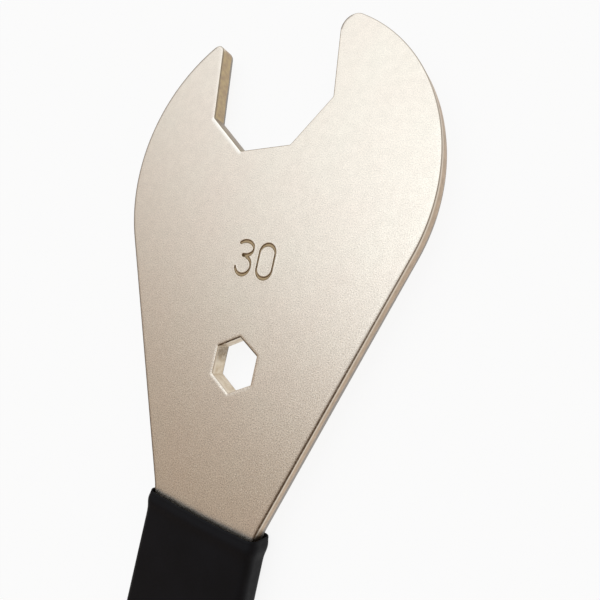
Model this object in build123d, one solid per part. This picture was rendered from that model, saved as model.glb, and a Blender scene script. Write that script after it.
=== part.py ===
from build123d import *
import os
from math import atan2, degrees

# A flat headset wrench: one stamped steel blade and one dipped vinyl grip over its tang.
# Millimetres. The origin is on the nut's axis, on the surface that the wrench lies on.
# +Y runs along the handle towards the jaw, +X to the right, +Z up out of the front face.

# Jaw
nut_flats = 30.0        # across the flats of the locknut that the jaw fits
jaw_clearance = 0.1     # that the jaw is wider than the nut
nut_sides = 8           # the throat follows the sides of an eight-sided nut
jaw_turn = 7.0          # degrees that the jaw's mouth leans to the left of the handle's line
throat_radius = 0.5     # in the corners of the throat
left_tip_radius = 1.7   # at the sharper tip, on the side that the mouth leans to
right_tip_radius = 3.0  # at the blunter tip

# Head and blade
plate = 4.0             # thickness of the steel
head_radius = 37.6      # of the round head
head_drop = 22.0        # from the nut's axis back down the jaw's own line to the head's centre
handle_offset = 6.2     # of the handle's centre line, to the right of the nut's axis
shoulder_drop = 91.0    # from the nut's axis back to the shoulders, where the taper meets the tang
shoulder_radius = 12.0  # that eases the taper into the tang
edge_radius = 0.35      # left by tumbling along every outer edge

# Hexagonal hole
hex_flats = 10.0        # across its flats, two of which lie along the handle
hex_drop = 60.4         # from the nut's axis back to the hole's centre
hex_edge = 0.2          # bevel at both rims

# Tang, hidden in the grip
tang_width = 26.0
tang_length = 117.0     # from the shoulders to its round end

# Grip
grip_wall = 1.1         # vinyl on every side of the tang
grip_end_wall = 2.5     # vinyl past the tang's end
grip_edge_radius = 1.8  # along the grip's long edges
mouth_rise = 0.5        # that the grip's mouth stands above the shoulders
lip_proud = 0.4         # that the thick lip stands out of the grip
lip_length = 5.0        # of the lip along the handle
lip_fade = 2.4          # over which the lip's lower end runs out into the grip
lip_sink = 0.2          # that the lip's end passes under the grip's surface
lip_round = 0.7         # at the lip's upper rim
mouth_gap = 0.7         # that the mouth stands open round the tang, at its rim
mouth_depth = 1.4       # over which that opening closes on the tang

# Heights that follow from the thicknesses
grip_thickness = plate + 2 * grip_wall
grip_base = lip_proud
plate_base = grip_base + grip_wall
plate_middle = plate_base + plate / 2
plate_top = plate_base + plate

# Places along and across the handle
shoulder_y = -shoulder_drop
mouth_y = shoulder_y + mouth_rise
head_centre = Vector(0, -head_drop, 0).rotate(Axis.Z, jaw_turn)
jaw_opening = nut_flats + jaw_clearance
jaw_reach = head_radius + head_drop


def nearest_vertices(sketch, points):
    """The sketch's corner nearest to each point."""
    return [sketch.vertices().sort_by_distance(point)[0] for point in points]


def handle_strip(width, top, length):
    """A straight strip down the handle's line with a full round end, length long from its top."""
    straight = length - width / 2
    middle = Pos(handle_offset, top - straight / 2)
    return middle * Rectangle(width, straight) + Pos(handle_offset, top - straight) * Circle(width / 2)


def jaw_gap():
    """The jaw's mouth: the nut's outline, opened straight out past the tips."""
    nut = RegularPolygon(jaw_opening / 2, nut_sides, major_radius=False, rotation=180 / nut_sides)
    mouth = Pos(0, jaw_reach / 2) * Rectangle(jaw_opening, jaw_reach)
    return Rot(0, 0, jaw_turn) * (nut + mouth)


def head_and_taper():
    """The round head drawn in to the shoulders by the two lines that leave it at a tangent."""
    head = Pos(head_centre) * Circle(head_radius)
    half = tang_width / 2
    shoulders = Line((handle_offset - half, shoulder_y), (handle_offset + half, shoulder_y))
    return make_hull(head.edges() + shoulders.edges())


def blade_outline():
    """The stamped outline, with its tips, throat and shoulders rounded."""
    outline = head_and_taper() + handle_strip(tang_width, shoulder_y, tang_length)
    half = tang_width / 2
    shoulders = [(handle_offset - half, shoulder_y), (handle_offset + half, shoulder_y)]
    outline = fillet(nearest_vertices(outline, shoulders), shoulder_radius)
    outline = outline - jaw_gap()
    throat = nearest_vertices(outline, throat_corners())
    outline = fillet(throat, throat_radius)
    left_corner, right_corner = tip_corners()
    outline = fillet(nearest_vertices(outline, [left_corner]), left_tip_radius)
    return fillet(nearest_vertices(outline, [right_corner]), right_tip_radius)


def throat_corners():
    """The four corners where the nut's lower sides meet in the throat."""
    nut = RegularPolygon(jaw_opening / 2, nut_sides, major_radius=False, rotation=180 / nut_sides)
    lower = nut.vertices().filter_by(lambda corner: corner.Y < 0)
    return [corner.center().rotate(Axis.Z, jaw_turn) for corner in lower]


def tip_corners():
    """The left and the right corner where the head's circle meets the jaw's flats."""
    half = jaw_opening / 2
    rise = (head_radius ** 2 - half ** 2) ** 0.5 - head_drop
    return [Vector(side * half, rise, 0).rotate(Axis.Z, jaw_turn) for side in (-1, 1)]


def make_blank():
    """The blade as it leaves the stamping die, with sharp edges and no hole."""
    return extrude(Pos(0, 0, plate_base) * blade_outline(), plate)


def make_blade(blank):
    """The whole steel blade, tang included, with its edges tumbled and its hole pierced."""
    rims = blank.edges().filter_by(Axis.Z, reverse=True)
    blade = fillet(rims, edge_radius)
    hole = RegularPolygon(hex_flats / 2, 6, major_radius=False, rotation=30)
    blade -= extrude(Pos(handle_offset, -hex_drop, plate_base) * hole, plate)
    around_hole = blade.edges().filter_by(lambda edge: on_hole_rim(edge))
    return chamfer(around_hole, hex_edge)


def on_hole_rim(edge):
    """Whether an edge lies on the front or back rim of the hexagonal hole."""
    middle = edge.center()
    reach = (Vector(middle.X, middle.Y, 0) - Vector(handle_offset, -hex_drop, 0)).length
    flat = abs(edge.tangent_at(0.5).Z) < 0.5
    return reach < hex_flats * 0.55 and flat


def mouth_section(width, thickness, radius):
    """A rounded section across the handle at the grip's mouth, facing down the handle."""
    across = Plane(origin=(handle_offset, mouth_y, plate_middle), x_dir=(1, 0, 0), z_dir=(0, -1, 0))
    return across * RectangleRounded(width, thickness, radius)


def make_lip(width):
    """The thick lip round the grip's mouth, rounded at the mouth and running out down the handle."""
    radius = grip_edge_radius + lip_proud
    band = extrude(mouth_section(width + 2 * lip_proud, grip_thickness + 2 * lip_proud, radius), lip_length)
    lower_end = band.faces().sort_by(Axis.Y)[0]
    band = chamfer(lower_end.edges(), lip_proud + lip_sink, lip_fade, reference=lower_end)
    upper_end = band.faces().sort_by(Axis.Y)[-1]
    return fillet(upper_end.edges(), lip_round)


def make_grip(blank):
    """The vinyl grip, hollow where the tang fills it, with a mouth that stands open round the blade."""
    width = tang_width + 2 * grip_wall
    length = tang_length + mouth_rise + grip_end_wall
    sleeve = extrude(Pos(0, 0, grip_base) * handle_strip(width, mouth_y, length), grip_thickness)
    long_edges = sleeve.edges().filter_by(Axis.Z, reverse=True)
    long_edges = long_edges.filter_by(lambda edge: edge.center().Y < mouth_y - edge_radius)
    sleeve = fillet(long_edges, grip_edge_radius)
    grip = sleeve + make_lip(width)
    opening = mouth_section(tang_width + 2 * mouth_gap, plate + 2 * mouth_gap, edge_radius + mouth_gap)
    grip -= extrude(opening, mouth_depth, taper=degrees(atan2(mouth_gap, mouth_depth)))
    return grip - blank


def main():
    """Writes one STEP file for each of the two pieces."""
    os.makedirs("parts", exist_ok=True)
    blank = make_blank()
    blade = make_blade(blank)
    grip = make_grip(blank)
    for name, piece in {"blade": blade, "grip": grip}.items():
        export_step(piece, f"parts/{name}.step")


main()
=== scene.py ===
"""Looks of a flat headset wrench: one satin-plated steel blade and one dipped vinyl grip.

Lengths are written in millimetres, in the part's own frame, and turned to metres when a mesh is made.
"""

import logging
import math
from dataclasses import dataclass, field, replace
from enum import IntEnum

import bmesh
import bpy
import numpy as np
from mathutils import Matrix, Vector, noise
from mathutils.geometry import delaunay_2d_cdt


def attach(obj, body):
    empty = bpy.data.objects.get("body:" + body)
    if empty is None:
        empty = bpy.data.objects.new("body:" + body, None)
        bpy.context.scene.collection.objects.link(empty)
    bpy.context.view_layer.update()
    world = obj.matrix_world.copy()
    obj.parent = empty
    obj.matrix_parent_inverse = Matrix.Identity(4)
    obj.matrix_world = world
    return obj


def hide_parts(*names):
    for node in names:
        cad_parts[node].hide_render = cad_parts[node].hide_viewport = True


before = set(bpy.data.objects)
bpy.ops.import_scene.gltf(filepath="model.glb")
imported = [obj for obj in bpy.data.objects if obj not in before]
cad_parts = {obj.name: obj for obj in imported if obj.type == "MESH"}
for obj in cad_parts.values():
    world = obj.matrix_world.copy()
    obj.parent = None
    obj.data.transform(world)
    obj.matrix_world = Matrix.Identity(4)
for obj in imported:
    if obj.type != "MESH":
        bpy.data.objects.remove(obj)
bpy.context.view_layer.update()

log = logging.getLogger("headset_wrench")

Array = np.ndarray
Value = np.ndarray | float
Pair = tuple[float, float]
Triple = tuple[float, float, float]
Tree = bpy.types.NodeTree
Socket = bpy.types.NodeSocket

MM = 0.001
WELD = 0.0005          # mm, under which two points are one
TINY = 1e-6            # mm, under which a run has no direction of its own
SNAP = 1e-7            # mm, within which the triangulation takes two points for one
ROW_PITCH = math.sqrt(0.75)                   # between rows of even triangles, in triangle sides
FACTOR, FIRST, SECOND, MIXED = 0, 6, 7, 2     # a Mix node's sockets when it mixes colours
NOISE_LOW, NOISE_HIGH = 0.3, 0.7              # between which most of a noise texture's values lie


def srgb(code: str) -> tuple[float, float, float, float]:
    """Turns a sRGB hex colour into a linear one, by the curve of the sRGB standard.

    Args:
        code: six hex digits after a hash.

    Returns:
        Red, green and blue in linear light, and an alpha of 1.
    """
    parts = [int(code[i:i + 2], 16) / 255 for i in (1, 3, 5)]
    linear = [c / 12.92 if c <= 0.04045 else ((c + 0.055) / 1.055) ** 2.4 for c in parts]
    return (linear[0], linear[1], linear[2], 1.0)


def smooth_step(low: float, high: float, value: Value) -> Array:
    """Eases from 0 at low to 1 at high."""
    t = np.clip((np.asarray(value, float) - low) / (high - low), 0, 1)
    return t * t * (3 - 2 * t)


def unit(degrees: float) -> Array:
    """The plan direction at an angle from +X, anticlockwise."""
    return np.array([math.cos(math.radians(degrees)), math.sin(math.radians(degrees))])


def ripple(points: Array, period: float, seed: float) -> Array:
    """Smooth chance variation from about -1 to 1.

    Args:
        points: rows of plan points.
        period: millimetres from one swell to the next.
        seed: picks one pattern among many.

    Returns:
        One value for each point.
    """
    return np.array([noise.noise(Vector((p[0] / period, p[1] / period, seed))) for p in points])


def inside(points: Array, rims: list[Array]) -> Array:
    """Finds the plan points that lie within the first rim and in none of the others.

    Args:
        points: rows of plan points.
        rims: closed lines.

    Returns:
        True or false for each point.
    """
    crossings = np.zeros(len(points), int)
    for rim in rims:
        for a, b in zip(rim, np.roll(rim, -1, axis=0)):
            spans = (a[1] > points[:, 1]) != (b[1] > points[:, 1])
            if spans.any():
                reach = a[0] + (points[spans, 1] - a[1]) * (b[0] - a[0]) / (b[1] - a[1])
                crossings[np.flatnonzero(spans)[reach > points[spans, 0]]] += 1
    return crossings % 2 == 1


@dataclass
class Contour:
    """A closed line in the plan, with the direction that points out of the steel at each point."""

    spacing: float
    least_steps: int = 6      # on an arc, however short
    points: list[Array] = field(default_factory=list)
    outward: list[Array] = field(default_factory=list)

    def line(self, start: Array, end: Array, outward: Array) -> None:
        """Adds a straight run, without its last point.

        Args:
            start: of the run.
            end: of the run.
            outward: the direction that points out of the steel.
        """
        count = max(1, round(float(np.linalg.norm(end - start)) / self.spacing))
        for step in range(count):
            self.points.append(start + (end - start) * step / count)
            self.outward.append(outward)

    def arc(self, centre: Array, radius: float, start: float, end: float, hollow: bool = False) -> None:
        """Adds an arc, without its last point.

        Args:
            centre: of the arc.
            radius: of the arc.
            start: angle in degrees.
            end: angle in degrees, lower than start where the arc runs clockwise.
            hollow: true where the steel lies outside the arc.
        """
        length = abs(math.radians(end - start)) * radius
        count = max(self.least_steps, round(length / self.spacing))
        for step in range(count):
            way = unit(start + (end - start) * step / count)
            self.points.append(centre + radius * way)
            self.outward.append(-way if hollow else way)

    def inset(self, distance: Value) -> Array:
        """The line moved into the steel."""
        return np.array(self.points) - np.reshape(distance, (-1, 1)) * np.array(self.outward)

    def along(self) -> Array:
        """How far along the line each point lies."""
        points = np.array(self.points)
        return np.concatenate([[0], np.cumsum(np.linalg.norm(np.diff(points, axis=0), axis=1))])

    def facing(self, degrees: float) -> Array:
        """How much each point faces a plan direction, from -1 to 1."""
        return np.array(self.outward) @ unit(degrees)


class Draft:
    """Points and faces, with what each carries, gathered before they become one mesh."""

    def __init__(self) -> None:
        """Starts with nothing in it."""
        self.points: list[Array] = []
        self.faces: list[tuple[int, ...]] = []
        self.zones: list[int] = []
        self.traits: dict[str, list[Array]] = {}
        self.count = 0

    def add(self, points: Array, **traits: Value) -> Array:
        """Adds points.

        Args:
            points: rows of x, y and z in millimetres.
            traits: a value, or one for each point, under each trait's name.

        Returns:
            The new points' numbers.
        """
        self.points.append(np.asarray(points, float))
        size = len(points)
        for name in sorted({*self.traits, *traits}):
            column = self.traits.setdefault(name, [np.zeros(self.count)])
            column.append(np.broadcast_to(np.asarray(traits.get(name, 0.0), float), (size,)))
        numbers = np.arange(self.count, self.count + size)
        self.count += size
        return numbers

    def ring(self, plan: Array, height: Value, **traits: Value) -> Array:
        """Adds plan points at a height, and returns their numbers."""
        heights = np.broadcast_to(np.asarray(height, float), (len(plan),))
        return self.add(np.column_stack([plan, heights]), **traits)

    def bridge(self, first: Array, second: Array, zone: int = 0) -> None:
        """Joins two closed rows of as many points with quads.

        Args:
            first: the points' numbers in one row.
            second: the points' numbers in the other.
            zone: of the new faces.
        """
        for i, j in enumerate(np.roll(np.arange(len(first)), -1)):
            self.faces.append((first[i], first[j], second[j], second[i]))
            self.zones.append(zone)

    def fill(self, loops: list[Array], spacing: float, margin: float, zone: int = 0) -> None:
        """Fills the flat area between closed loops with even triangles.

        Args:
            loops: the outer loop and any holes, as point numbers that lie at one height.
            spacing: of the points added inside.
            margin: that they keep from the loops.
            zone: of the new faces.
        """
        everything = np.concatenate(self.points)
        rims = [everything[loop] for loop in loops]
        edge_points = np.concatenate(rims)[:, :2]
        low, high = rims[0][:, :2].min(0), rims[0][:, :2].max(0)
        across = np.arange(low[0], high[0], spacing)
        up = np.arange(low[1], high[1], spacing * ROW_PITCH)
        lattice = np.array([(x + spacing / 2 * (row % 2), y) for row, y in enumerate(up) for x in across])
        keep = inside(lattice, rims)
        for number in np.flatnonzero(keep):
            keep[number] = np.min(np.sum((edge_points - lattice[number]) ** 2, axis=1)) > margin ** 2
        lattice = lattice[keep]
        numbers = np.concatenate([*loops, self.ring(lattice, float(rims[0][0, 2]))])
        flat = np.concatenate([edge_points, lattice])
        edges, start = [], 0
        for loop in loops:
            size = len(loop)
            edges += [(start + i, start + (i + 1) % size) for i in range(size)]
            start += size
        _, _, triangles, origins, _, _ = delaunay_2d_cdt([Vector(p) for p in flat], edges, [], 0, SNAP)
        source = [own[0] for own in origins]
        centres = np.array([[flat[source[v]] for v in triangle] for triangle in triangles]).mean(axis=1)
        for triangle, wanted in zip(triangles, inside(centres, rims)):
            if wanted:
                self.faces.append(tuple(int(numbers[source[v]]) for v in triangle))
                self.zones.append(zone)

    def build(self, name: str, materials: list[bpy.types.Material]) -> bpy.types.Object:
        """Makes the mesh object.

        Args:
            name: of the object and its mesh.
            materials: one for each zone.

        Returns:
            The object, linked to the scene, with its traits as point attributes.
        """
        mesh = bpy.data.meshes.new(name)
        points = np.concatenate(self.points) * MM
        mesh.from_pydata(points.tolist(), [], [list(map(int, face)) for face in self.faces])
        for material in materials:
            mesh.materials.append(material)
        mesh.polygons.foreach_set("material_index", self.zones)
        for trait, columns in self.traits.items():
            attribute = mesh.attributes.new(trait, "FLOAT", "POINT")
            attribute.data.foreach_set("value", np.concatenate(columns).astype(np.float32))
        tidy = bmesh.new()
        tidy.from_mesh(mesh)
        bmesh.ops.remove_doubles(tidy, verts=tidy.verts, dist=WELD * MM)
        bmesh.ops.recalc_face_normals(tidy, faces=tidy.faces)
        for face in tidy.faces:
            face.smooth = True
        tidy.to_mesh(mesh)
        tidy.free()
        made = bpy.data.objects.new(name, mesh)
        bpy.context.scene.collection.objects.link(made)
        return made


def add_node(tree: Tree, kind: str, inputs: dict[str | int, object] | None = None,
             **settings: object) -> bpy.types.Node:
    """Adds one node.

    Args:
        tree: that it goes into.
        kind: Blender's name for the type of node, after the word ShaderNode.
        inputs: for each input's name or number, a value, or the socket of another node to link.
        settings: the node's own properties.

    Returns:
        The new node.
    """
    node = tree.nodes.new("ShaderNode" + kind)
    for name, value in settings.items():
        setattr(node, name, value)
    for name, value in (inputs or {}).items():
        if isinstance(value, Socket):
            tree.links.new(value, node.inputs[name])
        else:
            node.inputs[name].default_value = value
    return node


def per_metre(millimetres: float) -> float:
    """The scale at which a texture in object coordinates repeats about every so many millimetres."""
    return 1 / (millimetres * MM)


class Finish:
    """What all the finishes share: a material of nodes, laid out in the part's own frame."""

    name: str

    def build(self) -> bpy.types.Material:
        """Makes the material.

        Returns:
            The material, with this finish's own shader on its surface.
        """
        material = bpy.data.materials.new(self.name)
        material.use_nodes = True
        tree = material.node_tree
        tree.nodes.clear()
        place = add_node(tree, "TexCoord").outputs["Object"]
        add_node(tree, "OutputMaterial", {"Surface": self.shade(tree, place)})
        return material

    def shade(self, tree: Tree, place: Socket) -> Socket:
        """Adds a finish's own nodes, and returns its shader."""
        raise NotImplementedError


@dataclass(frozen=True)
class SatinPlatedSteel(Finish):
    """Steel plate, fine-blasted and then nickel plated.

    The plating gives a warm champagne sheen that takes wide soft reflections. The blasting under it leaves
    a sparkling grain, in patches that took more or less of the blast; its colour specks grow stronger towards
    the handle as painted glints. A painted shade line and a painted highlight lie along some rims.
    """

    name: str = "satin_nickel_plated_steel"
    plating: str = "#e4dccd"
    plating_warm: str = "#e5d6c8"
    painted_shade_line: str = "#5e4b36"          # painted shade: a dark line along some rims
    rubbed: str = "#fdf8ee"         # painted highlight along the rolled rim beside the throat
    roughness: Pair = (0.30, 0.42)  # in the grain's hollows and on its tops
    cloud: float = 14.0             # mm between warmer and cooler patches of the plating
    mottle: float = 1.5             # mm between patches of the blast
    mottle_levels: Pair = (0.97, 1.03)
    grain: float = 0.22             # mm, coarser than the real 0.1 mm grit so that it shows
    grain_depth: float = 0.7        # how far the grain's brightness swings at the jaw
    grain_and_glint_depth_low: float = 2.1    # and from grain_low_y down to the shoulders, where the stronger specks are painted glints
    grain_low_y: float = -75.0
    grain_height: float = 0.03
    swell: float = 9.0              # mm between the faint hollows that rolling and stamping leave
    swell_height: float = 0.01

    def shade(self, tree: Tree, place: Socket) -> Socket:
        """Adds this finish's nodes.

        Args:
            tree: of the material.
            place: where the surface lies in the part's frame.

        Returns:
            The shader.
        """
        stained, rubbed = (
            add_node(tree, "Attribute", attribute_name=name).outputs["Fac"] for name in ("stained", "rubbed"))
        cloud = add_node(tree, "TexNoise", {
            "Vector": place, "Scale": per_metre(self.cloud), "Detail": 3.0, "Roughness": 0.55})
        mottle = add_node(tree, "TexNoise", {
            "Vector": place, "Scale": per_metre(self.mottle), "Detail": 2.0, "Roughness": 0.5})
        grain = add_node(tree, "TexNoise", {
            "Vector": place, "Scale": per_metre(self.grain), "Detail": 2.0, "Roughness": 0.7})
        swell = add_node(tree, "TexNoise", {
            "Vector": place, "Scale": per_metre(self.swell), "Detail": 1.0, "Roughness": 0.4})
        tint = add_node(tree, "Mix", {
            FACTOR: cloud.outputs["Fac"], FIRST: srgb(self.plating_warm), SECOND: srgb(self.plating)},
            data_type="RGBA")
        patch = add_node(tree, "MapRange", {
            "Value": mottle.outputs["Fac"], "From Min": NOISE_LOW, "From Max": NOISE_HIGH,
            "To Min": self.mottle_levels[0], "To Max": self.mottle_levels[1]})
        lengthwise = add_node(tree, "SeparateXYZ", {0: place}).outputs["Y"]
        # colour specks of the grain, stronger towards the handle as painted glints
        strength = add_node(tree, "MapRange", {
            "Value": lengthwise, "From Min": self.grain_low_y * MM, "From Max": 0.0,
            "To Min": self.grain_and_glint_depth_low, "To Max": self.grain_depth})
        centred = add_node(tree, "Math", {0: grain.outputs["Fac"], 1: 0.5}, operation="SUBTRACT")
        speck = add_node(tree, "Math", {
            0: centred.outputs[0], 1: strength.outputs["Result"], 2: 1.0}, operation="MULTIPLY_ADD")
        level = add_node(tree, "Math", {
            0: patch.outputs["Result"], 1: speck.outputs[0]}, operation="MULTIPLY")
        colour = add_node(tree, "VectorMath", {
            0: tint.outputs[MIXED], "Scale": level.outputs[0]}, operation="SCALE").outputs["Vector"]
        # the painted highlight beside the throat, then the painted shade line along some rims
        for share, layer in ((rubbed, self.rubbed), (stained, self.painted_shade_line)):
            colour = add_node(tree, "Mix", {
                FACTOR: share, FIRST: colour, SECOND: srgb(layer)}, data_type="RGBA").outputs[MIXED]
        rough = add_node(tree, "MapRange", {
            "Value": grain.outputs["Fac"], "From Min": NOISE_LOW, "From Max": NOISE_HIGH,
            "To Min": self.roughness[0], "To Max": self.roughness[1]})
        hollows = add_node(tree, "Bump", {
            "Strength": 1.0, "Distance": self.swell_height * MM, "Height": swell.outputs["Fac"]})
        bump = add_node(tree, "Bump", {
            "Strength": 1.0, "Distance": self.grain_height * MM, "Height": grain.outputs["Fac"],
            "Normal": hollows.outputs["Normal"]})
        return add_node(tree, "BsdfPrincipled", {
            "Base Color": colour, "Metallic": 1.0, "Roughness": rough.outputs["Result"],
            "Normal": bump.outputs["Normal"]}).outputs["BSDF"]


@dataclass(frozen=True)
class ShearedSteelEdge(Finish):
    """The stamped edge of the same plate, burnished by the die and then torn, under thin plating.

    A painted sheen makes it brightest just under the front rim; below it is browner and blotchy, with fine
    upright drag lines and a greyer, rougher band at the back. The jaw's flats, shaved to size, are plain
    olive brown. The tumbled corner is grey with wear and painted dark reflection, and painted shade lies on
    it as a dark line along some rims, and down some walls.
    """

    name: str = "sheared_nickel_plated_steel_edge"
    front_z: float = 5.5          # height of the plate's front face
    # painted sheen, just under the front rim
    painted_sheen: str = "#eaddcb"
    burnished: str = "#c3ab91"
    blotch: str = "#ad9880"
    shaved: str = "#c1ad89"
    torn: str = "#a09992"
    # grey of wear on the tumbled corner, and painted dark reflection that damps its highlight
    worn: str = "#8a837b"
    # painted shade: the dark line along some rims and down some walls
    painted_shade_line: str = "#5c4834"
    roughness: float = 0.42
    torn_roughness: float = 0.55
    bright_share: float = 0.9     # how much of the painted sheen shows
    bright_below: float = 0.5     # mm under the front face where the painted sheen ends
    bright_fade: float = 0.7      # mm over which it fades
    blotch_size: float = 1.4
    blotch_span: Pair = (0.40, 0.66)    # of the noise, from clean steel to a full blotch
    blotch_height: float = 0.03
    drag_spacing: float = 0.35    # mm between the drag lines of the punch
    drag_squeeze: float = 0.1     # of their pattern, down the wall, which draws them out ten times as long
    drag_height: float = 0.012
    shade_line_break: float = 0.6      # mm between breaks in the dark line
    shade_line_span: Pair = (0.34, 0.5)      # of the noise, from a break to the full line
    shade_line_least: float = 0.45     # of the line, that stays in its breaks

    def shade(self, tree: Tree, place: Socket) -> Socket:
        """Adds this finish's nodes.

        Args:
            tree: of the material.
            place: where the surface lies in the part's frame.

        Returns:
            The shader.
        """
        along, stained, shaved, torn, worn = (
            add_node(tree, "Attribute", attribute_name=name).outputs["Fac"]
            for name in ("along", "stained", "shaved", "torn", "worn"))
        height = add_node(tree, "SeparateXYZ", {0: place}).outputs["Z"]
        blotch = add_node(tree, "TexNoise", {
            "Vector": place, "Scale": per_metre(self.blotch_size), "Detail": 4.0, "Roughness": 0.65})
        breaks = add_node(tree, "TexNoise", {
            "Vector": place, "Scale": per_metre(self.shade_line_break), "Detail": 3.0, "Roughness": 0.7})
        depth = add_node(tree, "Math", {0: height, 1: per_metre(1)}, operation="MULTIPLY")
        unrolled = add_node(tree, "CombineXYZ", {"X": along, "Y": depth.outputs[0]})
        stretch = add_node(tree, "VectorMath", {
            0: unrolled.outputs["Vector"], 1: (1.0, self.drag_squeeze, 1.0)}, operation="MULTIPLY")
        drag = add_node(tree, "TexNoise", {
            "Vector": stretch.outputs["Vector"], "Scale": 1 / self.drag_spacing, "Detail": 2.0})
        patch = add_node(tree, "MapRange", {
            "Value": blotch.outputs["Fac"], "From Min": self.blotch_span[0], "From Max": self.blotch_span[1]})
        # painted sheen: the wall lighter just under the front rim
        lit = add_node(tree, "MapRange", {
            "Value": height, "From Min": (self.front_z - self.bright_below - self.bright_fade) * MM,
            "From Max": (self.front_z - self.bright_below) * MM, "To Max": self.bright_share})
        line = add_node(tree, "MapRange", {
            "Value": breaks.outputs["Fac"], "From Min": self.shade_line_span[0], "From Max": self.shade_line_span[1],
            "To Min": self.shade_line_least})
        amount = add_node(tree, "Math", {0: stained, 1: line.outputs["Result"]}, operation="MULTIPLY")
        colour, flat = (
            add_node(tree, "Mix", {
                FACTOR: patch.outputs["Result"], FIRST: srgb(clean), SECOND: srgb(self.blotch)},
                data_type="RGBA").outputs[MIXED]
            for clean in (self.burnished, self.shaved))
        # laid over the colour: painted sheen, the jaw's flats, the torn band, the corner's grey of wear and
        # painted dark reflection, and painted shade
        layers = (
            (lit.outputs["Result"], srgb(self.painted_sheen)), (shaved, flat), (torn, srgb(self.torn)),
            (worn, srgb(self.worn)), (amount.outputs[0], srgb(self.painted_shade_line)))
        for share, layer in layers:
            colour = add_node(tree, "Mix", {
                FACTOR: share, FIRST: colour, SECOND: layer}, data_type="RGBA").outputs[MIXED]
        rough = add_node(tree, "MapRange", {
            "Value": torn, "To Min": self.roughness, "To Max": self.torn_roughness})
        lines = add_node(tree, "Bump", {
            "Strength": 1.0, "Distance": self.drag_height * MM, "Height": drag.outputs["Fac"]})
        bump = add_node(tree, "Bump", {
            "Strength": 1.0, "Distance": self.blotch_height * MM, "Height": blotch.outputs["Fac"],
            "Normal": lines.outputs["Normal"]})
        return add_node(tree, "BsdfPrincipled", {
            "Base Color": colour, "Metallic": 1.0, "Roughness": rough.outputs["Result"],
            "Normal": bump.outputs["Normal"]}).outputs["BSDF"]


@dataclass(frozen=True)
class StampedRecess(Finish):
    """The struck size mark: dirt and painted shade, dark brown at the walls and free ends, paler on the
    floor.
    """

    name: str = "stamped_mark_in_plated_steel"
    floor: str = "#b09a7a"
    # dark brown of dirt and painted shade on the walls
    wall: str = "#4a3822"
    rim: str = "#e4d6c5"
    roughness: float = 0.5
    dirt_and_shade: float = 0.45              # mm between specks of the dirt and painted shade
    dirt_span: Pair = (0.35, 0.6)   # of the noise, from thin dirt and painted shade to thick
    dirt_least: float = 0.25
    dirt_height: float = 0.02

    def shade(self, tree: Tree, place: Socket) -> Socket:
        """Adds this finish's nodes.

        Args:
            tree: of the material.
            place: where the surface lies in the part's frame.

        Returns:
            The shader.
        """
        sunk, steep = (
            add_node(tree, "Attribute", attribute_name=name).outputs["Fac"] for name in ("sunk", "steep"))
        spots = add_node(tree, "TexNoise", {
            "Vector": place, "Scale": per_metre(self.dirt_and_shade), "Detail": 3.0, "Roughness": 0.65})
        dark = add_node(tree, "MapRange", {
            "Value": spots.outputs["Fac"], "From Min": self.dirt_span[0], "From Max": self.dirt_span[1],
            "To Min": self.dirt_least})
        wall = add_node(tree, "Math", {0: steep, 1: dark.outputs["Result"]}, operation="MULTIPLY")
        inner = add_node(tree, "Mix", {
            FACTOR: wall.outputs[0], FIRST: srgb(self.floor), SECOND: srgb(self.wall)}, data_type="RGBA")
        colour = add_node(tree, "Mix", {
            FACTOR: sunk, FIRST: srgb(self.rim), SECOND: inner.outputs[MIXED]}, data_type="RGBA")
        bump = add_node(tree, "Bump", {
            "Strength": 1.0, "Distance": self.dirt_height * MM, "Height": spots.outputs["Fac"]})
        return add_node(tree, "BsdfPrincipled", {
            "Base Color": colour.outputs[MIXED], "Metallic": 1.0, "Roughness": self.roughness,
            "Normal": bump.outputs["Normal"]}).outputs["BSDF"]


@dataclass(frozen=True)
class DippedVinyl(Finish):
    """Black plasticised vinyl, set from a dip, with a soft matte skin that dulls highlights."""

    name: str = "dipped_matte_black_vinyl"
    skin: str = "#08080c"
    bloom: str = "#0d0d12"
    roughness: Pair = (0.48, 0.68)
    ior: float = 1.5
    gloss: float = 0.14      # the specular level, low because the fine skin traps light
    pebble: float = 0.8      # mm between the low pebbles of the skin
    pebble_height: float = 0.02
    drift: float = 7.0       # mm between duller and clearer patches
    drift_span: Pair = (0.35, 0.75)     # of the noise, from clear skin to full bloom

    def shade(self, tree: Tree, place: Socket) -> Socket:
        """Adds this finish's nodes.

        Args:
            tree: of the material.
            place: where the surface lies in the part's frame.

        Returns:
            The shader.
        """
        pebble = add_node(tree, "TexNoise", {
            "Vector": place, "Scale": per_metre(self.pebble), "Detail": 3.0, "Roughness": 0.6})
        drift = add_node(tree, "TexNoise", {
            "Vector": place, "Scale": per_metre(self.drift), "Detail": 2.0})
        dull = add_node(tree, "MapRange", {
            "Value": drift.outputs["Fac"], "From Min": self.drift_span[0], "From Max": self.drift_span[1]})
        colour = add_node(tree, "Mix", {
            FACTOR: dull.outputs["Result"], FIRST: srgb(self.skin), SECOND: srgb(self.bloom)},
            data_type="RGBA")
        rough = add_node(tree, "MapRange", {
            "Value": pebble.outputs["Fac"], "To Min": self.roughness[0], "To Max": self.roughness[1]})
        bump = add_node(tree, "Bump", {
            "Strength": 1.0, "Distance": self.pebble_height * MM, "Height": pebble.outputs["Fac"]})
        return add_node(tree, "BsdfPrincipled", {
            "Base Color": colour.outputs[MIXED], "Metallic": 0.0, "Roughness": rough.outputs["Result"],
            "IOR": self.ior, "Specular IOR Level": self.gloss,
            "Normal": bump.outputs["Normal"]}).outputs["BSDF"]


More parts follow.
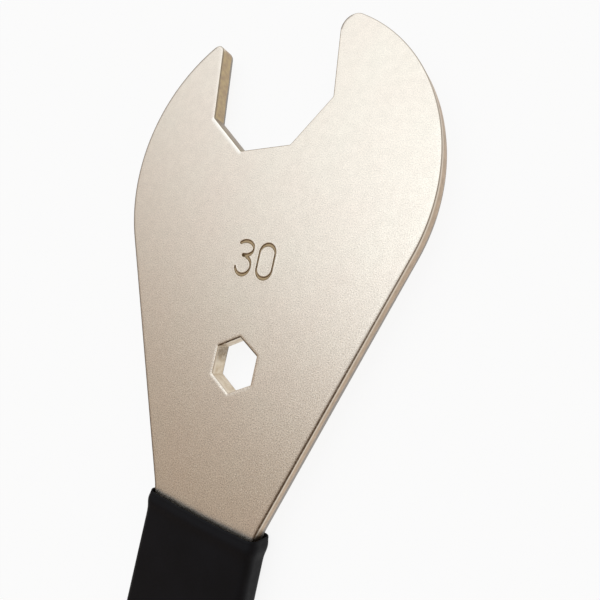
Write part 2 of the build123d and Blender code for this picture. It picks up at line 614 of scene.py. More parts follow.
@dataclass(frozen=True)
class WhitePaper(Finish):
    """Matte white background paper, whose own colour fills the picture."""

    name: str = "white_background_paper"
    colour: str = "#f7f7f7"
    lit_share: float = 0.12     # of what is seen of the paper, lit by the lamps, which shows a shadow
    fibre: float = 3.0          # mm between thicker and thinner patches
    fibre_shade: float = 0.97

    def shade(self, tree: Tree, place: Socket) -> Socket:
        """Adds this finish's nodes.

        Args:
            tree: of the material.
            place: where the surface lies in the part's frame.

        Returns:
            The shader.
        """
        fibre = add_node(tree, "TexNoise", {"Vector": place, "Scale": per_metre(self.fibre)})
        tone = add_node(tree, "MapRange", {"Value": fibre.outputs["Fac"], "To Min": self.fibre_shade})
        colour = add_node(tree, "VectorMath", {
            0: srgb(self.colour)[:3], "Scale": tone.outputs["Result"]}, operation="SCALE")
        paper = add_node(tree, "BsdfDiffuse", {"Color": colour.outputs["Vector"]})
        glow = add_node(tree, "Emission", {"Color": (1.0, 1.0, 1.0, 1.0), "Strength": 1.0})
        rays = add_node(tree, "LightPath").outputs
        seen = rays["Is Camera Ray"]
        for kind in ("Is Glossy Ray", "Is Transmission Ray"):
            seen = add_node(tree, "Math", {0: seen, 1: rays[kind]}, operation="MAXIMUM").outputs[0]
        share = add_node(tree, "Math", {0: seen, 1: 1 - self.lit_share}, operation="MULTIPLY")
        return add_node(tree, "MixShader", {
            0: share.outputs[0], 1: paper.outputs["BSDF"], 2: glow.outputs["Emission"]}).outputs["Shader"]


class SteelZone(IntEnum):
    """Which finish a face of the blade takes."""

    FACE = 0
    EDGE = 1
    MARK = 2
    HOLE = 3


@dataclass(frozen=True)
class DarkLine:
    """A dark line of painted shade along the rims that face one way."""

    towards: float                 # plan direction in degrees
    start: float                   # how much a rim faces that way where the line begins, as a cosine
    full: float                    # and where it is darkest
    strength: float = 1.0
    reach_y: Pair | None = None    # where along the handle it begins and is darkest, if not everywhere

    def amount(self, contour: Contour) -> Array:
        """Gives how dark the line is along a contour.

        Args:
            contour: that it follows.

        Returns:
            A value from 0 to 1 for each point.
        """
        amount = self.strength * smooth_step(self.start, self.full, contour.facing(self.towards))
        if self.reach_y:
            start_y, full_y = self.reach_y
            amount = amount * smooth_step(-start_y, -full_y, -contour.inset(0)[:, 1])
        return amount


@dataclass(frozen=True)
class StampedEdge:
    """The section of an edge that a die has cut: rolled over in front, burnished, then torn behind."""

    roll_width: float = 1.1          # over which the front face sinks towards the edge
    roll_margin: float = 1.3         # times as far in, the face is flat
    roll_drop: float = 0.055
    roll_towards: float = -5.0       # plan direction, in degrees, of the edges that sink the most
    roll_span: Pair = (0.2, 0.8)     # cosines over which the others sink more and more
    roll_least: float = 0.25         # share by which the rest sink
    roll_rows: int = 6
    corner_radius: float = 0.24
    corner_rows: int = 6
    burnished_depth: float = 3.2     # from the front face down to where the steel tore
    tear_rise: float = 0.9           # that it tore higher up behind the first dark line
    tear_wave: float = 0.22          # that the tear line wanders up and down
    tear_period: float = 5.0
    tear_seed: float = 3.7
    tear_height: float = 0.24        # over which the wall passes from burnished to torn
    tear_step: float = 0.35          # share of the torn band's relief that it has there already
    torn_relief: float = 0.12        # that the torn band draws back by at the back face
    back_radius: float = 0.3
    back_rows: int = 4
    # painted shade: dark lines along the rims that face down and right, towards the handle, and along those
    # that face left
    dark_lines: tuple[DarkLine, ...] = (
        DarkLine(towards=-45.0, start=0.64, full=0.90, strength=0.9, reach_y=(-5.0, -70.0)),
        DarkLine(towards=175.0, start=0.15, full=0.6, strength=0.9))
    shade_line_foot: float = 0.2          # below the corner that the dark line reaches down the wall
    shade_line_fade: float = 4.0          # how sharply it fades into the front face, as a power
    # share of the corner's grey: wear, and painted dark reflection
    wear_and_dark_reflection_amount: float = 0.55
    slant_towards: float = 52.0      # the way that one shaved flat faces: its wall greyer, with a painted highlight along its rim
    slant_span: Pair = (0.72, 0.97)  # cosines
    slant_grey: float = 0.6
    wall_shade: DarkLine | None = None      # painted shade down a wall that faces one way, from its front to its back
    wall_shade_front: float = 0.7     # share of that painted shade on the burnished band

    def weave(self, draft: Draft, contour: Contour, base: float, top: float, zone: SteelZone,
              shaved: Value = 0.0) -> tuple[Array, Array]:
        """Builds the wall along a contour.

        Args:
            draft: that takes the points and faces.
            contour: the stamped outline.
            base: height of the back face.
            top: height of the front face.
            zone: of the wall's finish.
            shaved: 1 at the points of the contour that were shaved to size, and 0 elsewhere.

        Returns:
            The front and the back loop, each lying in its face.
        """
        rows, zones, along = [], [], contour.along()

        def lay(inset: Value, height: Value, finish: SteelZone, **traits: Value) -> None:
            """Lays the next row down the wall, and notes the finish between it and the row before."""
            rows.append(draft.ring(contour.inset(inset), height, along=along, **traits))
            zones.append(finish)

        # painted shade: a dark line along the rims that face one way, kept off the jaw's flats
        painted_shade_line = np.max([line.amount(contour) for line in self.dark_lines], axis=0) * (1 - shaved)
        # painted shade down a wall that faces one way, darker at its back
        dirt_and_shade = self.wall_shade.amount(contour) if self.wall_shade else 0.0
        # the shaved flat that faces slant_towards: a greyer wall, and a painted highlight along its rolled
        # rim
        slant = shaved * smooth_step(*self.slant_span, contour.facing(self.slant_towards))
        rolled = smooth_step(*self.roll_span, contour.facing(self.roll_towards))
        drop = self.roll_drop * (self.roll_least + (1 - self.roll_least) * rolled)
        slope = np.arctan(2 * drop / (self.roll_width - self.corner_radius))
        brink = self.corner_radius * (1 - np.sin(slope))
        lay(self.roll_width * self.roll_margin, top, SteelZone.FACE)
        for share in np.arange(self.roll_rows + 1) / self.roll_rows:
            lay(self.roll_width + (brink - self.roll_width) * share, top - drop * share ** 2, SteelZone.FACE,
                stained=painted_shade_line * share ** self.shade_line_fade, rubbed=slant * share)
        # the tumbled corner: the painted shade line, and grey of wear and painted dark reflection
        for step in range(1, self.corner_rows + 1):
            turn = slope + (math.pi / 2 - slope) * step / self.corner_rows
            lay(self.corner_radius * (1 - np.sin(turn)),
                top - drop - self.corner_radius * (np.cos(slope) - np.cos(turn)), zone,
                stained=painted_shade_line, worn=self.wear_and_dark_reflection_amount, shaved=shaved)
        shoulder = top - drop - self.corner_radius * np.cos(slope)
        wander = self.tear_wave * ripple(contour.inset(0), self.tear_period, self.tear_seed)
        tear = top - self.burnished_depth + self.tear_rise * self.dark_lines[0].amount(contour) + wander
        for height in (shoulder - self.shade_line_foot, (shoulder + tear) / 2, tear + self.tear_height / 2):
            lay(0, height, zone, shaved=shaved, torn=self.slant_grey * slant,
                stained=dirt_and_shade * self.wall_shade_front)
        lay(self.torn_relief * self.tear_step, tear - self.tear_height / 2, zone, torn=1.0, stained=dirt_and_shade)
        foot = base + self.back_radius
        lay(self.torn_relief, foot, zone, torn=1.0, stained=dirt_and_shade)
        for step in range(1, self.back_rows + 1):
            turn = math.radians(90 * step / self.back_rows)
            lay(self.torn_relief + self.back_radius * (1 - math.cos(turn)),
                foot - self.back_radius * math.sin(turn), zone, torn=1.0, stained=dirt_and_shade)
        lay(self.torn_relief + self.back_radius * 2, base, SteelZone.FACE)
        for upper, lower, finish in zip(rows, rows[1:], zones[1:]):
            draft.bridge(upper, lower, finish)
        return rows[0], rows[-1]


@dataclass(frozen=True)
class Stroke:
    """One bent stroke of a figure: part of an ellipse, drawn out along the handle."""

    centre: Pair
    radii: Pair
    start: float          # angle in degrees
    end: float            # angle in degrees
    drawn: float = 0.0    # that each half is moved apart, up and down
    steps: int = 64

    def path(self) -> Array:
        """Draws the stroke's middle line.

        Returns:
            Rows of plan points, from its start to its end.
        """
        turn = np.radians(np.linspace(self.start, self.end, self.steps))
        x = self.centre[0] + self.radii[0] * np.cos(turn)
        y = self.centre[1] + self.radii[1] * np.sin(turn) + self.drawn * np.sign(np.round(np.sin(turn), 6))
        return np.column_stack([x, y])


@dataclass(frozen=True)
class SizeMark:
    """The nut's size, 30, struck into the front face, as a patch of the face on a fine grid."""

    low: Pair = (-0.4, -44.0)
    high: Pair = (12.2, -33.4)
    cell: float = 0.08
    depth: float = 0.2
    thin: float = 0.42             # width of an upright stroke
    broad: float = 0.85            # width of a stroke across
    swelling: float = 1.5          # how late a stroke broadens as it turns across, as a power
    wall: float = 0.2              # over which the floor is reached
    wall_dark: Pair = (0.5, 1.4)   # in wall widths, between which the wall's dirt and painted shade end
    brink: Pair = (-0.02, 0.05)    # between which it begins
    mark_edge: float = 0.06        # from the brink in, over which the mark's own finish begins
    lip: float = 0.02              # steel pushed up beside the stroke
    lip_start: float = 0.08        # from the brink out, over which it rises
    lip_width: float = 0.3
    pool: float = 0.4              # how far from a stroke's free end the dirt and painted shade lie thick
    pool_dirt_and_shade: float = 1.3         # and how thick, where 1 is a wall's
    open_strokes: tuple[Stroke, ...] = (
        Stroke(centre=(2.75, -36.5), radii=(2.03, 1.5), start=137, end=-98),
        Stroke(centre=(2.85, -40.15), radii=(1.95, 1.95), start=72, end=-168))
    closed_strokes: tuple[Stroke, ...] = (
        Stroke(centre=(8.38, -38.65), radii=(1.93, 1.95), start=0, end=360, drawn=1.55),)

    def groove(self, points: Array) -> tuple[Array, Array, Array]:
        """Works out how the strokes change the face.

        Args:
            points: rows of plan points.

        Returns:
            The height above the face, how far sunk from 0 to 1, and how much dirt and painted shade lie on
            the walls and at the strokes' free ends.
        """
        to_end = np.full(len(points), np.inf)
        for stroke in self.open_strokes:
            to_end = np.minimum(to_end, np.linalg.norm(points - stroke.path()[-1], axis=1))
        clear = np.full(len(points), np.inf)
        for stroke in self.open_strokes + self.closed_strokes:
            path = stroke.path()
            for a, b in zip(path, path[1:]):
                run = b - a
                length = float(np.linalg.norm(run))
                if length < TINY:
                    continue
                share = np.clip((points - a) @ run / length ** 2, 0, 1)
                gap = np.linalg.norm(points - a - share[:, None] * run, axis=1)
                width = self.thin + (self.broad - self.thin) * abs(run[0] / length) ** self.swelling
                clear = np.minimum(clear, gap - width / 2)
        sunk = smooth_step(0, self.wall, -clear)
        inner, outer = (self.wall * share for share in self.wall_dark)
        # dirt and painted shade over the walls, and thick at the strokes' free ends
        steep = smooth_step(*self.brink, -clear) * (1 - smooth_step(inner, outer, -clear))
        steep = np.maximum(steep, self.pool_dirt_and_shade * np.exp(-(to_end / self.pool) ** 2))
        beside = np.exp(-(np.maximum(clear, 0) / self.lip_width) ** 2)
        rise = self.lip * beside * smooth_step(0, self.lip_start, clear)
        return rise - self.depth * sunk, smooth_step(0, self.mark_edge, -clear), steep

    def weave(self, draft: Draft, top: float) -> Array:
        """Builds the patch.

        Args:
            draft: that takes the points and faces.
            top: height of the front face.

        Returns:
            The loop round the patch, lying in the face.
        """
        across, up = (
            np.linspace(low, high, round((high - low) / self.cell) + 1)
            for low, high in zip(self.low, self.high))
        grid = np.array([(x, y) for y in up for x in across])
        height, sunk, steep = self.groove(grid)
        shape = (len(up), len(across))
        numbers = draft.ring(grid, top + height, sunk=sunk, steep=steep).reshape(shape)
        marked = sunk.reshape(shape)
        for row in range(len(up) - 1):
            for column in range(len(across) - 1):
                draft.faces.append((
                    numbers[row, column], numbers[row, column + 1],
                    numbers[row + 1, column + 1], numbers[row + 1, column]))
                within = marked[row:row + 2, column:column + 2].max() > 0
                draft.zones.append(SteelZone.MARK if within else SteelZone.FACE)
        return np.concatenate([numbers[0, :-1], numbers[:-1, -1], numbers[-1, :0:-1], numbers[:0:-1, 0]])


@dataclass(frozen=True)
class Blade:
    """The one-piece blade: round head, open jaw, hexagonal hole, taper and hidden tang."""

    jaw_opening: float = 30.1
    jaw_turn: float = 7.0
    nut_sides: int = 8
    throat_radius: float = 0.5
    left_tip_radius: float = 1.7
    right_tip_radius: float = 3.0
    plate_base: float = 1.5
    plate: float = 4.0
    head_radius: float = 37.595    # a hair under the solid's, so that the mesh stays within its facets
    head_drop: float = 22.0
    handle_offset: float = 6.2
    shoulder_y: float = -91.0
    shoulder_radius: float = 12.0
    tang_width: float = 26.0
    tang_length: float = 117.0
    hex_flats: float = 10.0
    hex_y: float = -60.4
    hex_corner: float = 0.2
    outline_spacing: float = 0.55
    face_spacing: float = 2.2
    edge: StampedEdge = StampedEdge()
    hex_edge: StampedEdge = StampedEdge(
        roll_width=0.8, roll_drop=0.08, roll_least=1.0, corner_radius=0.2, burnished_depth=3.5,
        tear_wave=0.06, tear_rise=0.0, wear_and_dark_reflection_amount=0.25,
        # painted shade: a dark line along the hole's upper rims
        dark_lines=(DarkLine(towards=-80.0, start=0.3, full=0.85),),
        # painted shade down the upper part of the hole's left wall
        wall_shade=DarkLine(towards=0.0, start=0.9, full=0.99, strength=0.9, reach_y=(-61.5, -58.8)))
    mark: SizeMark = SizeMark()
    face_finish: SatinPlatedSteel = SatinPlatedSteel()
    edge_finish: ShearedSteelEdge = ShearedSteelEdge()
    hole_finish: ShearedSteelEdge = ShearedSteelEdge(
        name="pierced_nickel_plated_steel_edge", painted_sheen="#e6d9c6", burnished="#e2d5c0", blotch="#cbb99f",
        torn="#c2b7a8", worn="#b3a99b")
    mark_finish: StampedRecess = StampedRecess()

    def outline(self) -> Contour:
        """Draws the stamped outline.

        Returns:
            The outline, anticlockwise from the tang's end.
        """
        turn, half_jaw = self.jaw_turn, self.jaw_opening / 2
        jaw = np.array([unit(turn), unit(turn + 90)]).T
        head = jaw @ np.array([0.0, -self.head_drop])
        half = self.tang_width / 2
        left, right = self.handle_offset - half, self.handle_offset + half
        end = np.array([self.handle_offset, self.shoulder_y - self.tang_length + half])
        right_lean = self.taper_lean(head, np.array([right, self.shoulder_y]), 1)
        left_lean = self.taper_lean(head, np.array([left, self.shoulder_y]), -1)
        contour = Contour(self.outline_spacing)
        contour.arc(end, half, -90, 0)
        ease = self.shoulder_radius * math.tan(math.radians(right_lean / 2))
        centre = np.array([right + self.shoulder_radius, self.shoulder_y - ease])
        contour.line(np.array([right, end[1]]), np.array([right, centre[1]]), unit(0))
        contour.arc(centre, self.shoulder_radius, 180, 180 - right_lean, hollow=True)
        shoulder = centre - self.shoulder_radius * unit(-right_lean)
        contour.line(shoulder, head + self.head_radius * unit(-right_lean), unit(-right_lean))
        tip, lift = self.tip(self.right_tip_radius)
        contour.arc(head, self.head_radius, -right_lean, lift + turn)
        contour.arc(jaw @ tip, self.right_tip_radius, lift + turn, 180 + turn)
        last = self.throat(contour, jaw, np.array([half_jaw, tip[1]]))
        tip, lift = self.tip(self.left_tip_radius)
        contour.line(jaw @ last, jaw @ np.array([-half_jaw, tip[1]]), jaw @ unit(0))
        contour.arc(jaw @ np.array([-tip[0], tip[1]]), self.left_tip_radius, turn, 180 - lift + turn)
        contour.arc(head, self.head_radius, 180 - lift + turn, 180 + left_lean)
        ease = self.shoulder_radius * math.tan(math.radians(left_lean / 2))
        centre = np.array([left - self.shoulder_radius, self.shoulder_y - ease])
        shoulder = centre + self.shoulder_radius * unit(left_lean)
        contour.line(head + self.head_radius * unit(180 + left_lean), shoulder, unit(180 + left_lean))
        contour.arc(centre, self.shoulder_radius, left_lean, 0, hollow=True)
        contour.line(np.array([left, centre[1]]), np.array([left, end[1]]), unit(180))
        contour.arc(end, half, 180, 270)
        return contour

    def throat(self, contour: Contour, jaw: Array, start: Array) -> Array:
        """Draws the throat, which follows the nut's lower sides, with a small radius in each corner.

        Args:
            contour: that takes the flats and the corners.
            jaw: the turn from the jaw's own directions to the plan's.
            start: of the right-hand flat, in the jaw's own directions.

        Returns:
            Where the left-hand flat starts, in the jaw's own directions.
        """
        half_jaw, step = self.jaw_opening / 2, 360 / self.nut_sides
        slope = math.radians(step / 2)
        run = half_jaw * math.tan(slope) - self.throat_radius * math.tan(slope)
        for side in range(self.nut_sides // 2):
            facing = -step * side
            flat_end = half_jaw * unit(facing) + unit(facing - 90) * run
            contour.line(jaw @ start, jaw @ flat_end, jaw @ unit(facing + 180))
            middle = (half_jaw - self.throat_radius) / math.cos(slope) * unit(facing - step / 2)
            corner_turn = self.jaw_turn + facing
            contour.arc(jaw @ middle, self.throat_radius, corner_turn, corner_turn - step, hollow=True)
            start = half_jaw * unit(facing - step) + unit(facing - step + 90) * run
        return start

    def taper_lean(self, head: Array, shoulder: Array, side: int) -> float:
        """Finds how one side of the taper leans.

        Args:
            head: the head's centre.
            shoulder: the corner where the taper meets the tang.
            side: 1 on the right and -1 on the left.

        Returns:
            The angle in degrees between that side and the handle's line.
        """
        reach = head - shoulder
        spread = math.asin(self.head_radius / float(np.linalg.norm(reach)))
        return math.degrees(spread - side * math.atan2(-reach[0], reach[1]))

    def tip(self, radius: float) -> tuple[Array, float]:
        """Finds the rounding of a tip.

        Args:
            radius: of the tip.

        Returns:
            Its centre on the jaw's right-hand side, in the jaw's own directions, and the angle in degrees
            at which it meets the head.
        """
        x = self.jaw_opening / 2 + radius
        rise = math.sqrt((self.head_radius - radius) ** 2 - x ** 2)
        return np.array([x, rise - self.head_drop]), math.degrees(math.atan2(rise, x))

    def in_jaw(self, points: Array) -> Array:
        """Tells the jaw's flats from the rest.

        Args:
            points: rows of plan points.

        Returns:
            1 for each point on the jaw's flats, and 0 for the others.
        """
        across, up = points @ unit(self.jaw_turn), points @ unit(self.jaw_turn + 90)
        reach = self.jaw_opening / 2 + WELD
        return ((np.abs(across) < reach) & (up > -reach)).astype(float)

    def hole(self) -> Contour:
        """Draws the hexagonal hole.

        Returns:
            The hole, two of whose flats lie along the handle.
        """
        contour = Contour(self.outline_spacing / 2)
        middle = np.array([self.handle_offset, self.hex_y])
        reach, slope = self.hex_flats / 2, math.radians(30)
        run = reach * math.tan(slope) - self.hex_corner * math.tan(slope)
        for facing in range(0, 360, 60):
            flat, along = middle + reach * unit(facing), unit(facing + 90)
            contour.line(flat - run * along, flat + run * along, -unit(facing))
            centre = middle + (reach - self.hex_corner) / math.cos(slope) * unit(facing + 30)
            contour.arc(centre, self.hex_corner, facing, facing + 60, hollow=True)
        return contour

    def build(self) -> bpy.types.Object:
        """Builds and dresses the blade.

        Returns:
            The blade's object.
        """
        draft = Draft()
        base, top = self.plate_base, self.plate_base + self.plate
        outline = self.outline()
        shaved = self.in_jaw(outline.inset(0))
        front, back = self.edge.weave(draft, outline, base, top, SteelZone.EDGE, shaved)
        hole_front, hole_back = self.hex_edge.weave(draft, self.hole(), base, top, SteelZone.HOLE)
        patch = self.mark.weave(draft, top)
        draft.fill([front, hole_front, patch], self.face_spacing, self.face_spacing / 2, SteelZone.FACE)
        draft.fill([back, hole_back], self.face_spacing, self.face_spacing / 2, SteelZone.FACE)
        finishes = (self.face_finish, replace(self.edge_finish, front_z=top), self.mark_finish,
                    replace(self.hole_finish, front_z=top))
        made = draft.build("steel_blade", [finish.build() for finish in finishes])
        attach(made, "root")
        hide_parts("blade")
        return made


@dataclass(frozen=True)
class Bar:
    """A flat bar with a round end and rounded long edges, as closed sections across the handle."""

    half_width: float
    half_thickness: float
    edge_radius: float
    end_y: float
    middle: Pair = (6.2, 3.5)     # x and z of its middle line
    side_rows: int = 6
    corner_rows: int = 8
    face_columns: int = 26
    end_rows: int = 26
    spacing: float = 1.2          # between sections on the straight part

    def grown(self, gap: float, edge_radius: float) -> "Bar":
        """The same bar, larger by a gap on every side."""
        return replace(self, half_width=self.half_width + gap, half_thickness=self.half_thickness + gap,
                       edge_radius=edge_radius)

    def section(self, y: float, on_end: bool = False) -> Array:
        """Draws one closed section.

        Args:
            y: of the section on the bar's outline.
            on_end: true where the section follows the round end.

        Returns:
            Rows of x, y and z, anticlockwise from the middle of the right side, seen from the mouth.
        """
        centre_y = self.end_y + self.half_width
        lean = math.asin(min(1.0, (centre_y - y) / self.half_width)) if on_end else 0.0
        out = np.array([math.cos(lean), -math.sin(lean)])
        edge_y = centre_y - self.half_width * math.sin(lean) if on_end else y
        edge = np.array([self.half_width * math.cos(lean), edge_y])
        turns = np.radians(np.linspace(0, 90, self.corner_rows + 1))
        flank = self.half_thickness - self.edge_radius
        side = [(0.0, flank * i / self.side_rows) for i in range(self.side_rows)]
        corner = [
            (self.edge_radius * (1 - math.cos(t)), self.half_thickness - self.edge_radius * (1 - math.sin(t)))
            for t in turns]
        right_up = [np.array([*(edge - inset * out), z]) for inset, z in side + corner]
        columns = np.cos(np.linspace(0, math.pi, self.face_columns))[1:-1]
        spread = [right_up[-1] * np.array([share, 1, 1]) for share in columns]
        left_up = [point * np.array([-1, 1, 1]) for point in reversed(right_up)]
        upper = right_up + spread + left_up
        lower = [point * np.array([1, 1, -1]) for point in reversed(upper[1:-1])]
        ring = np.array(upper + lower)
        ring[:, [0, 2]] += self.middle
        return ring

    def sections(self, top_y: float) -> list[Array]:
        """Draws the sections from the bar's end up to a height on the handle.

        Args:
            top_y: of the last section.

        Returns:
            The sections in order.
        """
        centre_y = self.end_y + self.half_width
        turns = np.linspace(90, 0, self.end_rows)
        rings = [self.section(centre_y - self.half_width * math.sin(math.radians(t)), True) for t in turns]
        count = max(2, round((top_y - centre_y) / self.spacing))
        return rings + [self.section(float(y)) for y in np.linspace(centre_y, top_y, count + 1)[1:]]


@dataclass(frozen=True)
class Grip:
    """The vinyl sleeve over the tang, with a rolled lip round its open mouth."""

    skin: Bar = Bar(half_width=14.1, half_thickness=3.1, edge_radius=1.8, end_y=-210.5)
    cavity: Bar = Bar(half_width=13.0, half_thickness=2.0, edge_radius=0.35, end_y=-208.0)
    mouth_y: float = -90.5
    mouth_gap: float = 0.7
    mouth_edge_radius: float = 0.8
    mouth_depths: Triple = (1.2, 1.7, 2.4)          # at which the mouth closes on the tang
    mouth_start: float = 0.5
    cavity_depth: float = 3.2                       # below which the cavity is plain
    lip_proud: float = 0.38
    lip_middle: float = 1.9        # from the mouth down to where the lip is fullest
    lip_spread: float = 1.5
    lip_waver: float = 0.07        # share by which its fullness varies
    lip_zone: float = 6.0          # from the mouth down, where the sections lie close
    lip_rows: int = 22
    rim_radius: float = 0.55
    rim_rows: int = 11
    sag: float = 0.4               # that the mouth's front edge dips in the middle
    sag_power: float = 0.7         # under 1, it dips broadly
    sag_span: Pair = (4.0, 0.5)    # below the mouth, from no sag to all of it
    unevenness: float = 0.09
    uneven_period: float = 3.0
    uneven_twist: float = 0.7      # how much it also changes with height, so that no two sides match
    uneven_fade: float = 4.0       # below the mouth, over which the dip evens out
    uneven_seed: float = 8.1
    rim_period: float = 2.4
    rim_seed: float = 5.3
    finish: DippedVinyl = DippedVinyl()

    def swell(self, ring: Array) -> Array:
        """Adds the lip's fullness and the dip's unevenness.

        Args:
            ring: one section of the skin.

        Returns:
            The section with its points moved in or out.
        """
        below = self.mouth_y - ring[:, 1]
        full = np.exp(-((below - self.lip_middle) / self.lip_spread) ** 2)
        flat = ring[:, [0, 2]] - self.skin.middle
        core = np.array([self.skin.half_width, self.skin.half_thickness]) - self.skin.edge_radius
        way = flat - np.clip(flat, -core, core)
        way /= np.maximum(np.linalg.norm(way, axis=1, keepdims=True), TINY)
        rough = ripple(ring[:, :2] + ring[:, 2:] * self.uneven_twist, self.uneven_period, self.uneven_seed)
        near = np.exp(-np.maximum(below, 0) / self.uneven_fade)
        lip = self.lip_proud * full * (1 - self.lip_waver + self.lip_waver * rough)
        lift = lip - self.unevenness * near * np.abs(rough) * (1 - full)
        moved = ring.copy()
        moved[:, [0, 2]] += way * lift[:, None]
        return moved

    def droop(self, ring: Array, share: float) -> Array:
        """Lets the mouth's front edge sag and waver.

        Args:
            ring: one section near the mouth.
            share: of the whole sag.

        Returns:
            The section with its points moved down the handle.
        """
        across = (ring[:, 0] - self.skin.middle[0]) / self.skin.half_width
        dip = self.sag * np.maximum(1 - across ** 2, 0) ** self.sag_power
        waver = self.unevenness * ripple(ring[:, [0, 2]], self.rim_period, self.rim_seed)
        moved = ring.copy()
        moved[:, 1] -= share * (dip + self.unevenness + waver)
        return moved

    def mouth(self, below: float, closed: float) -> Array:
        """Draws a section of the mouth's inside.

        Args:
            below: how far down from the mouth.
            closed: how far it has closed on the tang there, from 0 to 1.

        Returns:
            The section, sagging with the rim where it is open.
        """
        radius = self.mouth_edge_radius + (self.cavity.edge_radius - self.mouth_edge_radius) * closed
        opening = self.cavity.grown(self.mouth_gap * (1 - closed), radius)
        return self.droop(opening.section(self.mouth_y - below), 1 - closed)

    def build(self) -> bpy.types.Object:
        """Builds and dresses the grip.

        Returns:
            The grip's object.
        """
        draft = Draft()
        rings = [self.swell(ring) for ring in self.skin.sections(self.mouth_y - self.lip_zone)]
        for below in np.linspace(self.lip_zone, self.rim_radius, self.lip_rows)[1:]:
            ring = self.swell(self.skin.section(self.mouth_y - float(below)))
            rings.append(self.droop(ring, float(smooth_step(*self.sag_span, below))))
        outer, inner = rings[-1], self.mouth(self.rim_radius, 0.0)
        for turn in np.radians(np.linspace(0, 180, self.rim_rows))[1:-1]:
            blend = (1 - math.cos(turn)) / 2
            ring = outer * (1 - blend) + inner * blend
            ring[:, 1] += self.rim_radius * math.sin(turn)
            rings.append(ring)
        rings.append(inner)
        for below in self.mouth_depths:
            closed = float(smooth_step(self.mouth_start, self.mouth_depths[-1], below))
            rings.append(self.mouth(below, closed))
        rings += self.cavity.sections(self.mouth_y - self.cavity_depth)[::-1]
        rows = [draft.add(ring) for ring in rings]
        for lower, upper in zip(rows, rows[1:]):
            draft.bridge(lower, upper)
        made = draft.build("vinyl_grip", [self.finish.build()])
        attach(made, "root")
        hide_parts("grip")
        return made


@dataclass(frozen=True)
class Softbox:
    """A large soft lamp, placed by where it stands as seen from the wrench."""

    name: str
    azimuth: float       # degrees from +X, anticlockwise
    elevation: float     # degrees above the floor
    distance: float      # metres
    width: float         # metres
    height: float        # metres
    watts: float
    tint: str

    def build(self, target: Vector) -> None:
        """Makes the lamp.

        Args:
            target: that the lamp is turned to, in metres.
        """
        lamp = bpy.data.lights.new(self.name, "AREA")
        lamp.shape = "RECTANGLE"
        lamp.size, lamp.size_y = self.width, self.height
        lamp.energy = self.watts
        lamp.color = srgb(self.tint)[:3]
        made = bpy.data.objects.new(self.name, lamp)
        a, e = math.radians(self.azimuth), math.radians(self.elevation)
        way = Vector((math.cos(a) * math.cos(e), math.sin(a) * math.cos(e), math.sin(e)))
        made.location = target + way * self.distance
        made.rotation_euler = (-way).to_track_quat("-Z", "Y").to_euler()
        bpy.context.scene.collection.objects.link(made)


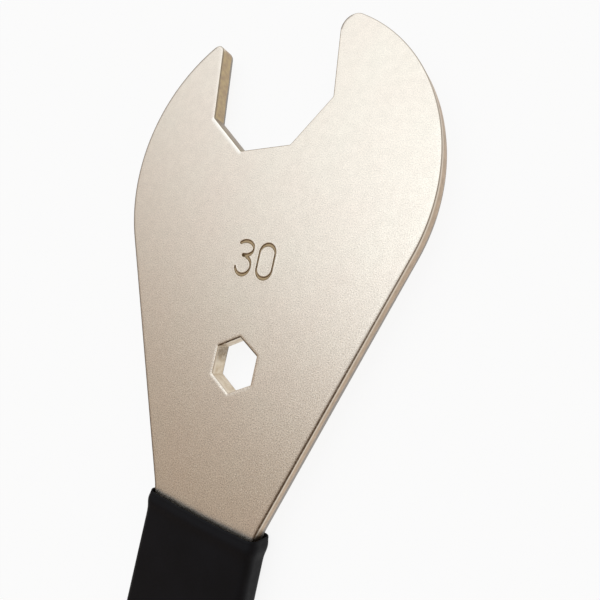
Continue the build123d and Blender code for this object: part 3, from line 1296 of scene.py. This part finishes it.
@dataclass(frozen=True)
class Studio:
    """The white paper, the lamp, the room round them and the camera."""

    paper_side: float = 6.0        # metres
    paper: WhitePaper = WhitePaper()
    room: str = "#aa9987"          # plain walls, which warm the steel from every side
    screen: str = "#ddefff"        # a wide white screen above and past the wrench's head, with no outline
    screen_strength: float = 1.18
    screen_towards: Triple = (-0.15, 0.6, 0.79)
    screen_span: Pair = (0.475, 0.95)     # cosines, from its middle, over which it brightens
    target: Triple = (6.0, -40.0, 4.0)
    lamp: Softbox = Softbox(
        name="overhead_softbox", azimuth=100, elevation=82, distance=1.0, width=0.7, height=0.5, watts=0.8,
        tint="#e0f0ff")
    lens: float = 30.344
    sensor: float = 36.0
    clip: Pair = (0.005, 20.0)     # metres
    eye: Triple = (68.231, -48.207, 88.031)     # where the photograph was taken from
    rightward: Triple = (0.839533, 0.213199, -0.499730)
    upward: Triple = (-0.165079, 0.976403, 0.139231)

    def lay_paper(self) -> None:
        """Lays the paper that the wrench rests on."""
        half = self.paper_side / 2
        corners = [(-half, -half, 0), (half, -half, 0), (half, half, 0), (-half, half, 0)]
        mesh = bpy.data.meshes.new("paper")
        mesh.from_pydata(corners, [], [(0, 1, 2, 3)])
        mesh.materials.append(self.paper.build())
        floor = bpy.data.objects.new("paper", mesh)
        bpy.context.scene.collection.objects.link(floor)

    def light_room(self) -> None:
        """Gives the room a plain warm tone, with a broad cool brightness above and past the head."""
        world = bpy.data.worlds.new("studio_room")
        world.use_nodes = True
        tree = world.node_tree
        tree.nodes.clear()
        way = add_node(tree, "TexCoord").outputs["Generated"]
        lean = add_node(tree, "VectorMath", {
            0: way, 1: Vector(self.screen_towards).normalized()}, operation="DOT_PRODUCT")
        rise = add_node(tree, "MapRange", {
            "Value": lean.outputs["Value"], "From Min": self.screen_span[0], "From Max": self.screen_span[1],
            "To Max": self.screen_strength}, interpolation_type="SMOOTHSTEP")
        screen = add_node(tree, "VectorMath", {
            0: srgb(self.screen)[:3], "Scale": rise.outputs["Result"]}, operation="SCALE")
        colour = add_node(tree, "VectorMath", {
            0: screen.outputs["Vector"], 1: srgb(self.room)[:3]}, operation="ADD")
        glow = add_node(tree, "Background", {"Color": colour.outputs["Vector"], "Strength": 1.0})
        add_node(tree, "OutputWorld", {"Surface": glow.outputs["Background"]})
        bpy.context.scene.world = world

    def set_camera(self) -> None:
        """Sets the camera at the photograph's viewing angle."""
        data = bpy.data.cameras.new("camera")
        data.lens, data.sensor_width, data.sensor_fit = self.lens, self.sensor, "HORIZONTAL"
        data.clip_start, data.clip_end = self.clip
        camera = bpy.data.objects.new("camera", data)
        x = Vector(self.rightward).normalized()
        z = x.cross(Vector(self.upward)).normalized()
        turn = Matrix((x, z.cross(x), z)).transposed().to_4x4()
        camera.matrix_world = Matrix.Translation(Vector(self.eye) * MM) @ turn
        bpy.context.scene.collection.objects.link(camera)
        bpy.context.scene.camera = camera

    def build(self) -> None:
        """Sets up the whole studio."""
        self.lay_paper()
        self.light_room()
        self.lamp.build(Vector(self.target) * MM)
        self.set_camera()
        bpy.context.scene.view_settings.view_transform = "Standard"


def main() -> None:
    """Builds the studio and the pieces in order, and reports each piece."""
    logging.basicConfig(level=logging.INFO, format="%(name)s: %(message)s")
    Studio().build()
    for sub_assembly in (Blade(), Grip()):
        piece = sub_assembly.build()
        log.info("%s: %d points, %d faces", piece.name, len(piece.data.vertices), len(piece.data.polygons))


if __name__ == "__main__":
    main()
